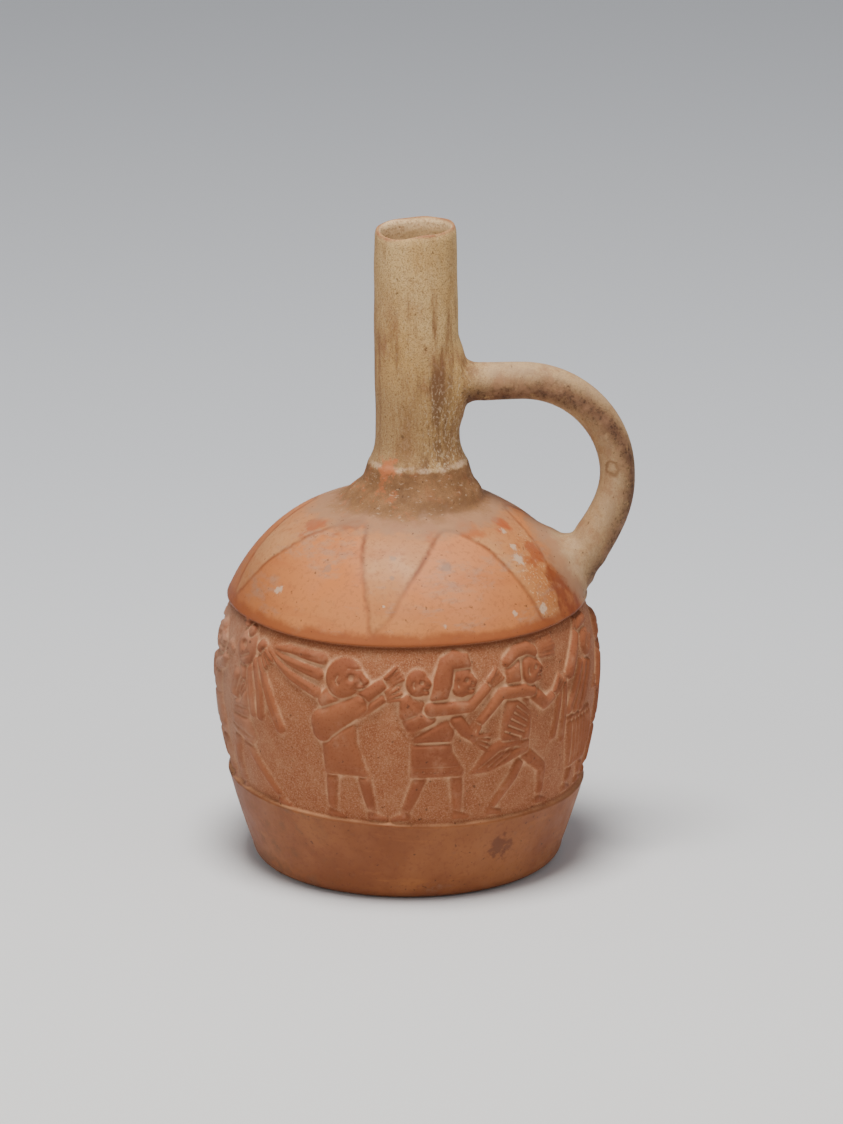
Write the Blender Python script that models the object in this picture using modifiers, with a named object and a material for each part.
"""Relief vessel: a hollow clay bottle with a frieze of dancing figures, a tall spout and a loop handle.

Metres, +Z up. The origin is the middle of the underside, the handle points to +X and the front of the
frieze to -Y. Body, collar, spout and handle were joined wet and fired as one piece, so they are one solid.
"""
import math

import bmesh
import bpy
import numpy as np
from mathutils import Vector

# The whole bottle.
TOTAL_HEIGHT = 0.2200
TRIANGLES_OUTSIDE = 7300

# The body: a flat underside, a low widest line and a full dome.
HEEL_RADIUS = 0.0528
HEEL_HEIGHT = 0.0060
HEEL_INSET = 0.0060
BELLY_RADIUS = 0.0657
BELLY_HEIGHT = 0.0650
DOME_HEIGHT = 0.1293
BODY_WALL = 0.0042
FLOOR_THICKNESS = 0.0060
LOWER_FULLNESS = 1.72
DOME_FULLNESS = 2.20
DOME_ROUNDNESS = 2.16

# The frieze: a band sunk into the wall, with figures that stand up to the wall's outline.
FRIEZE_BOTTOM = 0.0298
FRIEZE_TOP = 0.0914
FRIEZE_DEPTH = 0.0014
FRIEZE_EDGE = 0.0011

# The spout, set a little to the handle's side, on a conical collar with a worn ridge. The collar's ridge and
# foot are measured out from the spout, and the lip narrows in from it.
SPOUT_RADIUS = 0.0140
SPOUT_WALL = 0.0027
SPOUT_OFFSET = 0.0036
SPOUT_LEAN = -0.0008
SPOUT_JOIN = 0.0100
COLLAR_RIDGE = 0.0029
COLLAR_SPREAD = 0.0076
COLLAR_HEIGHT = 0.0090
COLLAR_STEP = 0.0068
RIM_TAPER = 0.0004
RIM_ROUND = 0.0011
RIM_TILT = 0.0008
RIM_ZONE = 0.0150

# The handle: a round roll of clay from the spout's side down to the shoulder.
HANDLE_RADIUS = 0.0062
HANDLE_RISE = 0.0366
HANDLE_OVERHANG = 0.0053
HANDLE_FOOT_INSET = 0.0106
HANDLE_FOOT_OUT = 0.0070
HANDLE_FOOT_UP = 0.0065
HANDLE_FOOT_SLOPE = math.radians(58.0)
HANDLE_FOOT_FLARE = 1.75
HANDLE_ROOT_FLARE = 1.30
HANDLE_BITE = 0.0026
HANDLE_CREST = 0.40
HANDLE_WAIST = 0.49
ROUND_REACH = 0.5523

# How finely the surfaces are drawn before they are thinned.
ROUND_STEPS = 480
CAVITY_STEPS = 36
CAVITY_ROW = 0.012
CROWN_ROWS = 15
FRIEZE_ROW = 0.00085
PLAIN_ROW = 0.0035
HANDLE_SPANS = 9

CLAY_COLOUR = (0.42, 0.16, 0.075, 1.0)
CLAY_ROUGHNESS = 0.55

BASE_RADIUS = HEEL_RADIUS - HEEL_INSET
COLLAR_RADIUS = SPOUT_RADIUS + COLLAR_RIDGE
COLLAR_FOOT_RADIUS = COLLAR_RADIUS + COLLAR_SPREAD
RIM_RADIUS = SPOUT_RADIUS - RIM_TAPER
BORE_RADIUS = SPOUT_RADIUS - SPOUT_WALL
CAVITY_INSET = BODY_WALL + FRIEZE_DEPTH


def clear_scene():
    for thing in list(bpy.data.objects):
        bpy.data.objects.remove(thing, do_unlink=True)


def make_collection(name):
    group = bpy.data.collections.new(name)
    bpy.context.scene.collection.children.link(group)
    return group


def make_material(name, colour, roughness):
    material = bpy.data.materials.new(name)
    material.use_nodes = True
    shader = material.node_tree.nodes["Principled BSDF"]
    shader.inputs["Base Color"].default_value = colour
    shader.inputs["Roughness"].default_value = roughness
    shader.inputs["Metallic"].default_value = 0.0
    return material


def smoothstep(value, low, high):
    share = np.clip((value - low) / (high - low), 0.0, 1.0)
    return share * share * (3.0 - 2.0 * share)


# The turned outlines.

def body_radius(height):
    """Outer radius of the body at a height above the heel."""
    if height < BELLY_HEIGHT:
        share = (BELLY_HEIGHT - height) / (BELLY_HEIGHT - HEEL_HEIGHT)
        return BELLY_RADIUS - (BELLY_RADIUS - HEEL_RADIUS) * share ** LOWER_FULLNESS
    share = min((height - BELLY_HEIGHT) / (DOME_HEIGHT - BELLY_HEIGHT), 1.0)
    return BELLY_RADIUS * (1.0 - share ** DOME_FULLNESS) ** (1.0 / DOME_ROUNDNESS)


def dome_height(radius):
    """Height of the dome at a radius, the other way round from body_radius."""
    share = (1.0 - (radius / BELLY_RADIUS) ** DOME_ROUNDNESS) ** (1.0 / DOME_FULLNESS)
    return BELLY_HEIGHT + (DOME_HEIGHT - BELLY_HEIGHT) * share


def even_rows(low, high, spacing):
    count = max(2, math.ceil((high - low) / spacing))
    return [low + (high - low) * row / count for row in range(count)]


def body_outline():
    """Radius and height pairs from the heel up to the collar's foot."""
    below = FRIEZE_BOTTOM - 2.0 * FRIEZE_EDGE
    above = FRIEZE_TOP + 2.0 * FRIEZE_EDGE
    rows = even_rows(HEEL_HEIGHT, below, PLAIN_ROW)
    rows += even_rows(below, above, FRIEZE_ROW)
    outline = [(body_radius(row), row) for row in rows]
    edge_radius = body_radius(above)
    count = max(6, math.ceil((edge_radius - COLLAR_FOOT_RADIUS) / PLAIN_ROW))
    for step in range(count + 1):
        radius = edge_radius + (COLLAR_FOOT_RADIUS - edge_radius) * step / count
        outline.append((radius, dome_height(radius)))
    return outline


def heel_outline(steps=4):
    """A quarter round between the flat underside and the lower wall."""
    turn = [math.radians(90.0 * step / steps) for step in range(steps)]
    width = HEEL_RADIUS - BASE_RADIUS
    return [(BASE_RADIUS + width * math.sin(a), HEEL_HEIGHT * (1.0 - math.cos(a))) for a in turn]


def spout_outline():
    """The collar's cone, its worn ridge, the straight spout and the rounded lip."""
    foot = dome_height(COLLAR_FOOT_RADIUS)
    ridge = DOME_HEIGHT + COLLAR_HEIGHT
    neck = ridge + COLLAR_STEP
    cone = COLLAR_FOOT_RADIUS - COLLAR_RADIUS
    outline = []
    for share in (0.25, 0.5, 0.75, 1.0):
        outline.append((COLLAR_FOOT_RADIUS - cone * share ** 0.62, foot + (ridge - foot) * share))
    step = COLLAR_RADIUS - SPOUT_RADIUS
    outline.append((COLLAR_RADIUS - 0.12 * step, ridge + 0.10 * COLLAR_STEP))
    outline.append((SPOUT_RADIUS + 0.40 * step, ridge + 0.42 * COLLAR_STEP))
    outline.append((SPOUT_RADIUS, neck))
    lip = TOTAL_HEIGHT - RIM_TILT
    for share in (0.33, 0.66):
        outline.append((SPOUT_RADIUS, neck + (lip - RIM_ZONE - neck) * share))
    outline.append((SPOUT_RADIUS, lip - RIM_ZONE))
    outline.append((RIM_RADIUS, lip - RIM_ROUND))
    outline.append((RIM_RADIUS - 0.3 * RIM_ROUND, lip - 0.3 * RIM_ROUND))
    outline.append((RIM_RADIUS - RIM_ROUND, lip))
    return outline


def outside_outline():
    """The whole outer profile, from the middle of the mouth down to the middle of the underside."""
    rising = [(0.0, 0.0), (BASE_RADIUS, 0.0)] + heel_outline()[1:] + body_outline() + spout_outline()
    rising.append((0.0, TOTAL_HEIGHT - RIM_TILT))
    return rising[::-1]


def cavity_outline():
    """The hollow: the ground of the frieze moved in by the wall, then the bore out through the mouth."""
    corner = FLOOR_THICKNESS + CAVITY_INSET
    floor_radius = body_radius(corner) - 2.0 * CAVITY_INSET
    rising = [(0.0, FLOOR_THICKNESS), (floor_radius, FLOOR_THICKNESS)]
    rising += [(body_radius(row) - CAVITY_INSET, row) for row in even_rows(corner, BELLY_HEIGHT, CAVITY_ROW)]
    crown = DOME_HEIGHT - CAVITY_INSET
    wide = BELLY_RADIUS - CAVITY_INSET
    for step in range(CROWN_ROWS):
        angle = 0.5 * math.pi * step / CROWN_ROWS
        radius = wide * math.cos(angle) ** (2.0 / DOME_ROUNDNESS)
        height = BELLY_HEIGHT + (crown - BELLY_HEIGHT) * math.sin(angle) ** (2.0 / DOME_FULLNESS)
        if radius > BORE_RADIUS + CAVITY_INSET:
            rising.append((radius, height))
    rising.append((BORE_RADIUS, DOME_HEIGHT))
    top = TOTAL_HEIGHT + RIM_TILT + RIM_ROUND
    rising += [(BORE_RADIUS, top - RIM_ZONE), (BORE_RADIUS, top), (0.0, top)]
    return rising[::-1]


def turned(name, outline, steps, group):
    """Screw an outline round the Z axis and return the closed result as a mesh object."""
    mesh = bpy.data.meshes.new(name)
    points = [(radius, 0.0, height) for radius, height in outline]
    mesh.from_pydata(points, [(row, row + 1) for row in range(len(points) - 1)], [])
    profile = bpy.data.objects.new(name + "_profile", mesh)
    group.objects.link(profile)
    screw = profile.modifiers.new("Turn", "SCREW")
    screw.steps = steps
    screw.render_steps = steps
    screw.use_merge_vertices = True
    screw.merge_threshold = 0.00001
    depsgraph = bpy.context.evaluated_depsgraph_get()
    solid = bpy.data.meshes.new_from_object(profile.evaluated_get(depsgraph))
    bpy.data.objects.remove(profile, do_unlink=True)
    result = bpy.data.objects.new(name, solid)
    group.objects.link(result)
    return result


def read_points(mesh):
    flat = np.empty(3 * len(mesh.vertices))
    mesh.vertices.foreach_get("co", flat)
    return flat.reshape(-1, 3)


def write_points(mesh, points):
    mesh.vertices.foreach_set("co", points.ravel())
    mesh.update()


# The carving. A figure is drawn in millimetres, x along the wall from its own middle and y up from the
# ground line, as strokes and pads that lie over each other.

class Patch:
    """The stretch of the frieze round one figure."""

    def __init__(self, x, y):
        self.x = x
        self.y = y
        self.relief = np.zeros_like(x)

    def stroke_distance(self, a, b, radius_a=0.0, radius_b=0.0):
        """Signed distance to a stroke that tapers from a to b, negative inside."""
        run, rise = b[0] - a[0], b[1] - a[1]
        share = ((self.x - a[0]) * run + (self.y - a[1]) * rise) / max(run * run + rise * rise, 1e-9)
        share = np.clip(share, 0.0, 1.0)
        away = np.hypot(self.x - a[0] - share * run, self.y - a[1] - share * rise)
        return away - (radius_a + (radius_b - radius_a) * share)

    def lay(self, distance, height, edge):
        """Lay a rounded form over what is there, with a shallow crease along its outline."""
        self.relief *= 1.0 - 0.55 * np.exp(-(distance / 0.5) ** 2)
        share = np.clip(-distance / edge, 0.0, 1.0)
        self.relief = np.maximum(self.relief, height * np.sqrt(1.0 - (1.0 - share) ** 2))

    def roll(self, points, radii, height=1.2):
        """A rounded limb or ribbon along a few points."""
        pairs = zip(points, points[1:], radii, radii[1:])
        distance = np.min([self.stroke_distance(*pair) for pair in pairs], axis=0)
        self.lay(distance, height, 0.85 * max(radii))

    def pad(self, corners, height=1.1, edge=1.8, rounding=0.8):
        """A flat-topped form with a rounded edge inside a closed outline."""
        distance = np.full_like(self.x, 1e9)
        inside = np.zeros(self.x.shape, bool)
        for a, b in zip(corners, corners[1:] + corners[:1]):
            distance = np.minimum(distance, self.stroke_distance(a, b))
            if a[1] != b[1]:
                crosses = (a[1] > self.y) != (b[1] > self.y)
                inside ^= crosses & (self.x < a[0] + (self.y - a[1]) * (b[0] - a[0]) / (b[1] - a[1]))
        self.lay(np.where(inside, -distance, distance) - rounding, height, edge)

    def oval(self, centre, radii, height=1.4):
        ring = np.hypot((self.x - centre[0]) / radii[0], (self.y - centre[1]) / radii[1])
        self.lay((ring - 1.0) * min(radii), height, 0.55 * min(radii))


THIGH, KNEE, ANKLE = 2.3, 2.0, 1.6
SHOULDER, ELBOW, WRIST, HAND = 2.5, 2.2, 1.6, 1.9


def leg(patch, hip, knee, ankle, toe=1):
    """A bent leg with a foot that points along toe, 1 or -1."""
    patch.roll([hip, knee, ankle], [THIGH, KNEE, ANKLE], 1.05)
    patch.roll([(ankle[0] - 0.6 * toe, 2.3), (ankle[0] + 4.4 * toe, 1.3)], [1.6, 0.8], 0.95)


def arm(patch, shoulder, elbow, wrist, tip):
    """A bent arm with an open hand."""
    patch.roll([shoulder, elbow, wrist], [SHOULDER, ELBOW, WRIST], 1.35)
    patch.roll([wrist, tip], [WRIST, HAND], 1.15)


def head(patch, centre, radii, facing=1):
    """A plain head in profile: a round skull and a short jaw."""
    patch.oval(centre, radii)
    jaw = (centre[0] + 0.72 * facing * radii[0], centre[1] - 0.45 * radii[1])
    patch.oval(jaw, (0.45 * radii[0], 0.36 * radii[1]), 1.3)


def streamer_dancer(patch):
    """Long ribbons fly from the knot behind the head, and sashes hang from the neck."""
    leg(patch, (-9.6, 20), (-11.8, 12), (-10.2, 3.6), -1)
    leg(patch, (-3.0, 20), (3.2, 13), (12.2, 3.6))
    patch.pad([(-10.6, 30), (-2.6, 30), (2.4, 23), (0.2, 20.4), (-12.8, 22.8)])
    patch.pad([(-8.6, 44), (-1.6, 45.4), (-0.6, 36), (-1.2, 29.6), (-9.8, 29.6)])
    patch.roll([(-4.8, 43.0), (-4.4, 48.0)], [2.8, 2.6], 1.1)
    for drop, middle, end in ((1.5, 17.6, 31.6), (5.2, 18.4, 30.6), (9.6, 19.4, 30.2)):
        patch.roll([(7.4, 53.6), (middle, 57.0 - drop), (end, 56.6 - 1.35 * drop)], [1.1, 1.5, 1.9], 1.1)
    patch.roll([(4.0, 49.4), (9.8, 40), (15.4, 29.0)], [1.4, 1.9, 2.1], 1.1)
    patch.roll([(2.0, 48.6), (5.6, 39.6), (6.2, 31)], [1.3, 1.7, 1.8], 1.1)
    arm(patch, (-7.6, 42.0), (-10.2, 35.6), (-6.0, 35.6), (-3.4, 40.0))
    patch.oval((-4.2, 52.2), (6.0, 6.3))
    for knot, size in (((-6.6, 59.4), 1.9), ((-2.4, 57.6), 2.0), ((4.6, 53.8), 2.3)):
        patch.oval(knot, (size, size), 1.3)


def leaning_dancer(patch):
    """Bent forward in a short tunic, with both arms held out."""
    leg(patch, (-5.2, 17), (-5.8, 10), (-6.3, 3.6))
    leg(patch, (5.9, 17), (7.2, 10), (8.6, 3.6))
    patch.pad([(-7.6, 30.5), (3.0, 33.5), (3.4, 28), (6.6, 17.2), (-7.2, 17.2)])
    patch.roll([(-1.5, 46), (-6.8, 41.5)], [4.0, 3.0], 1.2)
    head(patch, (-0.5, 49.3), (6.9, 6.6))
    arm(patch, (4.2, 38.5), (11.0, 42.9), (14.6, 44.6), (18.4, 46.2))
    arm(patch, (5.4, 43.0), (11.0, 47.0), (14.6, 49.4), (18.4, 51.6))
    patch.roll([(-8.2, 31.0), (-7.4, 33.8), (4.4, 40.8)], [3.6, 5.0, 3.3], 1.45)


def mother_and_child(patch):
    """A woman with long hair, a child in a sling on her back, one arm raised and one held out."""
    leg(patch, (-5.2, 17), (-8.6, 8.6), (-10.8, 3.6), -1)
    leg(patch, (6.8, 17), (7.4, 10), (7.9, 3.6))
    patch.pad([(-8.0, 29.5), (3.8, 29.5), (4.6, 25), (8.6, 18.6), (8.6, 17.2), (-8.2, 17.2)])
    patch.pad([(-7.2, 31.0), (-1.0, 34.6), (6.6, 37.2), (4.4, 29.4), (-7.6, 29.4)])
    arm(patch, (6.6, 36.0), (9.6, 32.0), (13.6, 28.8), (17.6, 27.4))
    patch.pad([(-11.8, 43), (-11.8, 38), (-8.6, 31.6), (-1.4, 35.4), (-0.8, 39), (-9.4, 44.6)], 1.3, 2.6)
    patch.oval((-6.2, 48.4), (4.3, 4.5))
    arm(patch, (-2.0, 40.0), (11.0, 40.2), (19.0, 46.8), (22.6, 49.6))
    patch.oval((9.2, 48.4), (4.0, 5.2))
    patch.roll([(-0.2, 44.6), (1.4, 50), (3.6, 54.2), (8.0, 56.0), (11.6, 55.2)], [1.9, 2.4, 2.7, 2.3, 1.7])
    patch.roll([(2.6, 52.8), (4.4, 49.0), (3.4, 45.6)], [2.3, 1.7, 1.2])


def rib_dancer(patch):
    """A bony dancer with bent knees, a flying loincloth and a tuft on the cap."""
    leg(patch, (-0.6, 21), (-3.7, 13.5), (-11.4, 3.6))
    leg(patch, (0.6, 21), (9.4, 14.2), (10.4, 3.6))
    patch.pad([(1.2, 27.2), (-8, 27.4), (-13.6, 25.4), (-19.6, 17.2), (-13.0, 17.4), (1.4, 22.4)], 1.25)
    patch.pad([(-7.2, 40.4), (0.6, 39.4), (1.6, 34), (1.4, 27.0), (-8.8, 27.6), (-8.6, 34)])
    patch.roll([(0.6, 41.0), (1.8, 46.0)], [2.6, 2.2], 1.1)
    for top, bottom in (((17.6, 42.6), (13.2, 24.2)), ((19.6, 42.8), (18.4, 22.0))):
        patch.roll([top, bottom], [1.2, 1.5], 1.0)
    arm(patch, (1.8, 42.6), (8.6, 36.6), (14.2, 39.0), (17.8, 43.4))
    arm(patch, (2.4, 42.6), (-9.4, 43.0), (-18.6, 33.6), (-21.6, 30.0))
    patch.pad([(-6.8, 51), (-1.4, 52.2), (-1.2, 46.4), (-6.6, 46.6)], 1.4)
    head(patch, (3.2, 49.0), (4.4, 5.0))
    patch.roll([(-6.6, 52.8), (-2.2, 55.4), (2.6, 55.9), (5.6, 54.2)], [1.7, 2.1, 2.1, 1.7], 1.4)
    patch.pad([(8.2, 53.6), (8.6, 56.4), (15.2, 57.0), (16.2, 54.2), (15.0, 51.6), (8.6, 52.2)])


def cloak_dancer(patch):
    """A pleated skirt, a ribbed cloak and one raised arm."""
    leg(patch, (-1.6, 12), (-2.0, 8), (-2.2, 3.6))
    leg(patch, (6.4, 12), (8.0, 8), (9.4, 3.6))
    patch.pad([(-8.0, 28.4), (8.4, 28.4), (13.4, 18), (9.6, 10.6), (-3.8, 10.6), (-6.0, 18)])
    for fold in range(3):
        top = (1.6 + 3.4 * fold, 44.4 - 0.8 * fold)
        patch.roll([top, (-7.6 + 4.2 * fold, 31.2 - 0.4 * fold)], [1.7, 1.9], 1.2)
    arm(patch, (-6.6, 43.6), (-2.0, 50.0), (2.6, 56.0), (4.6, 58.0))
    head(patch, (8.6, 50.2), (4.6, 5.0))
    patch.pad([(3.4, 55.6), (5.6, 58.4), (11.6, 58.6), (12.6, 56.0)], 1.3)


def plain_dancer(patch, swing):
    """The far side's figures: a plain tunic, one arm raised and one lowered by swing, -1 to 1."""
    leg(patch, (-3.2, 18), (-4.6 - 2.0 * swing, 11), (-6.4 - 3.0 * swing, 3.6))
    leg(patch, (3.2, 18), (6.0 + 2.0 * swing, 11.6), (6.4 + 2.4 * swing, 3.6))
    patch.pad([(-5.4, 42), (4.6, 42), (4.4, 30), (8.4, 18), (-7.8, 18), (-4.8, 30)])
    patch.roll([(0.0, 40.0), (0.4 + 0.8 * swing, 46.0)], [2.6, 2.2], 1.1)
    arm(patch, (3.4, 40.6), (8.6, 38.6 + 5.0 * swing), (12.4, 42.0 + 6.0 * swing), (14.4, 45.0 + 6.0 * swing))
    head(patch, (0.6 + 1.2 * swing, 49.6), (5.2, 5.6))
    arm(patch, (-4.2, 40.4), (-9.4, 35.0 - 3.0 * swing), (-12.0, 40.0 - 7.0 * swing), (-13.6, 43.0 - 9.0 * swing))


FRONT_DANCERS = (
    (streamer_dancer, -61.5),
    (leaning_dancer, -20.8),
    (mother_and_child, 10.0),
    (rib_dancer, 42.2),
    (cloak_dancer, 71.5),
)
FAR_DANCERS = 8
FIGURE_REACH = 36.0
FIGURE_HEIGHT = 60.0


def frieze_relief(along, up):
    """Height of the carving in metres, at metres along the wall from the front and up from the ground line."""
    scale = FIGURE_HEIGHT / (FRIEZE_TOP - FRIEZE_BOTTOM)
    turn = 2.0 * math.pi * BELLY_RADIUS * scale
    x = along * scale
    y = up * scale
    figures = [(draw, middle, ()) for draw, middle in FRONT_DANCERS]
    first, last = FRONT_DANCERS[-1][1], FRONT_DANCERS[0][1] + turn
    for place in range(FAR_DANCERS):
        middle = first + (last - first) * (place + 1) / (FAR_DANCERS + 1)
        figures.append((plain_dancer, middle, (math.cos(1.9 * place),)))
    relief = np.zeros_like(x)
    for draw, middle, pose in figures:
        local = (x - middle + turn / 2.0) % turn - turn / 2.0
        near = np.abs(local) < FIGURE_REACH
        patch = Patch(local[near], y[near])
        draw(patch, *pose)
        relief[near] = np.maximum(relief[near], patch.relief)
    return relief / scale


def carve_frieze(points):
    """Sink the band into the wall and raise the figures from it."""
    radius = np.hypot(points[:, 0], points[:, 1])
    height = points[:, 2]
    spare = 2.0 * FRIEZE_EDGE
    band = (height > FRIEZE_BOTTOM - spare) & (height < FRIEZE_TOP + spare) & (radius > 0.5 * BELLY_RADIUS)
    height = height[band]
    angle = np.arctan2(points[band, 0], -points[band, 1])
    inside = smoothstep(height, FRIEZE_BOTTOM - 0.5 * FRIEZE_EDGE, FRIEZE_BOTTOM + 0.5 * FRIEZE_EDGE)
    inside *= smoothstep(-height, -FRIEZE_TOP - 0.5 * FRIEZE_EDGE, -FRIEZE_TOP + 0.5 * FRIEZE_EDGE)
    relief = frieze_relief(angle * BELLY_RADIUS, height - FRIEZE_BOTTOM)
    carved = radius[band] - inside * (FRIEZE_DEPTH - relief)
    points[band, 0] = carved * np.sin(angle)
    points[band, 1] = -carved * np.cos(angle)


def spout_shift(height):
    """How far the hand-set spout stands off the body's axis."""
    joined = smoothstep(height, DOME_HEIGHT - SPOUT_JOIN, DOME_HEIGHT + 0.45 * COLLAR_HEIGHT)
    risen = np.clip((height - DOME_HEIGHT) / (TOTAL_HEIGHT - DOME_HEIGHT), 0.0, 1.0)
    return SPOUT_OFFSET * joined + SPOUT_LEAN * risen


def set_spout(points):
    """Move the spout off the axis and tilt its rim."""
    height = points[:, 2].copy()
    near_rim = smoothstep(height, TOTAL_HEIGHT - RIM_ZONE, TOTAL_HEIGHT - RIM_TILT)
    points[:, 2] += RIM_TILT * near_rim * points[:, 0] / RIM_RADIUS
    points[:, 0] += spout_shift(height)


def build_handle(name, group):
    """A bevelled curve that is thicker where it is pressed onto the spout and the shoulder."""
    level = DOME_HEIGHT + HANDLE_RISE
    root_x = spout_shift(np.array([level]))[0] + SPOUT_RADIUS
    outer_x = BELLY_RADIUS + HANDLE_OVERHANG
    foot_radius = BELLY_RADIUS - HANDLE_FOOT_INSET
    foot_height = dome_height(foot_radius)
    side_height = foot_height + HANDLE_WAIST * (level - foot_height)
    crest_x = root_x + HANDLE_CREST * (outer_x - root_x)
    out = ROUND_REACH * (outer_x - crest_x)
    down = ROUND_REACH * (level - side_height)
    flare = HANDLE_BITE + HANDLE_RADIUS
    landing = (HANDLE_RADIUS * math.cos(HANDLE_FOOT_SLOPE), HANDLE_RADIUS * math.sin(HANDLE_FOOT_SLOPE))
    press = 0.5 * HANDLE_RADIUS
    stops = (
        # place, reach back along the curve, reach forward, thickness
        ((root_x - HANDLE_BITE, level), (-press, 0.0), (0.5 * flare, 0.0), HANDLE_ROOT_FLARE),
        ((root_x + flare, level), (-0.4 * flare, 0.0), (0.5 * flare, 0.0), 1.0),
        ((crest_x, level), (-0.5 * flare, 0.0), (out, 0.0), 1.0),
        ((outer_x, side_height), (0.0, down), (0.0, -0.52 * down), 0.95),
        ((foot_radius + HANDLE_FOOT_OUT, foot_height + HANDLE_FOOT_UP),
         (1.6 * landing[0], 1.6 * landing[1]), (-0.75 * landing[0], -0.75 * landing[1]), 1.12),
        ((foot_radius - HANDLE_BITE, foot_height - HANDLE_BITE),
         (press, press), (-press, -press), HANDLE_FOOT_FLARE),
    )
    curve = bpy.data.curves.new(name, "CURVE")
    curve.dimensions = "3D"
    curve.bevel_depth = HANDLE_RADIUS
    curve.bevel_resolution = 3
    curve.resolution_u = HANDLE_SPANS
    curve.use_fill_caps = True
    spline = curve.splines.new("BEZIER")
    spline.bezier_points.add(len(stops) - 1)
    for point, (place, back, forward, thickness) in zip(spline.bezier_points, stops):
        point.co = (place[0], 0.0, place[1])
        point.handle_left = point.co + Vector((back[0], 0.0, back[1]))
        point.handle_right = point.co + Vector((forward[0], 0.0, forward[1]))
        point.radius = thickness
    rolled = bpy.data.objects.new(name + "_curve", curve)
    group.objects.link(rolled)
    depsgraph = bpy.context.evaluated_depsgraph_get()
    mesh = bpy.data.meshes.new_from_object(rolled.evaluated_get(depsgraph))
    bpy.data.objects.remove(rolled, do_unlink=True)
    weld_caps(mesh)
    result = bpy.data.objects.new(name, mesh)
    group.objects.link(result)
    return result


def weld_caps(mesh):
    shape = bmesh.new()
    shape.from_mesh(mesh)
    bmesh.ops.remove_doubles(shape, verts=shape.verts, dist=0.00001)
    bmesh.ops.recalc_face_normals(shape, faces=shape.faces)
    shape.to_mesh(mesh)
    shape.free()


def add_cut(target, cutter, operation):
    cut = target.modifiers.new(cutter.name, "BOOLEAN")
    cut.operation = operation
    cut.solver = "EXACT"
    cut.object = cutter
    cutter.hide_render = True
    cutter.display_type = "WIRE"


def build_bottle():
    parts = make_collection("relief_vessel")
    helpers = make_collection("cutters")
    bottle = turned("bottle", outside_outline(), ROUND_STEPS, parts)
    points = read_points(bottle.data)
    carve_frieze(points)
    set_spout(points)
    write_points(bottle.data, points)
    bottle.data.materials.append(make_material("fired_clay", CLAY_COLOUR, CLAY_ROUGHNESS))

    thin = bottle.modifiers.new("Thin", "DECIMATE")
    faces = sum(len(face.vertices) - 2 for face in bottle.data.polygons)
    thin.ratio = TRIANGLES_OUTSIDE / faces

    handle = build_handle("handle", helpers)
    cavity = turned("cavity", cavity_outline(), CAVITY_STEPS, helpers)
    inner = read_points(cavity.data)
    inner[:, 0] += spout_shift(inner[:, 2])
    write_points(cavity.data, inner)
    add_cut(bottle, handle, "UNION")
    add_cut(bottle, cavity, "DIFFERENCE")
    bottle.data.shade_smooth()
    return bottle


clear_scene()
build_bottle()
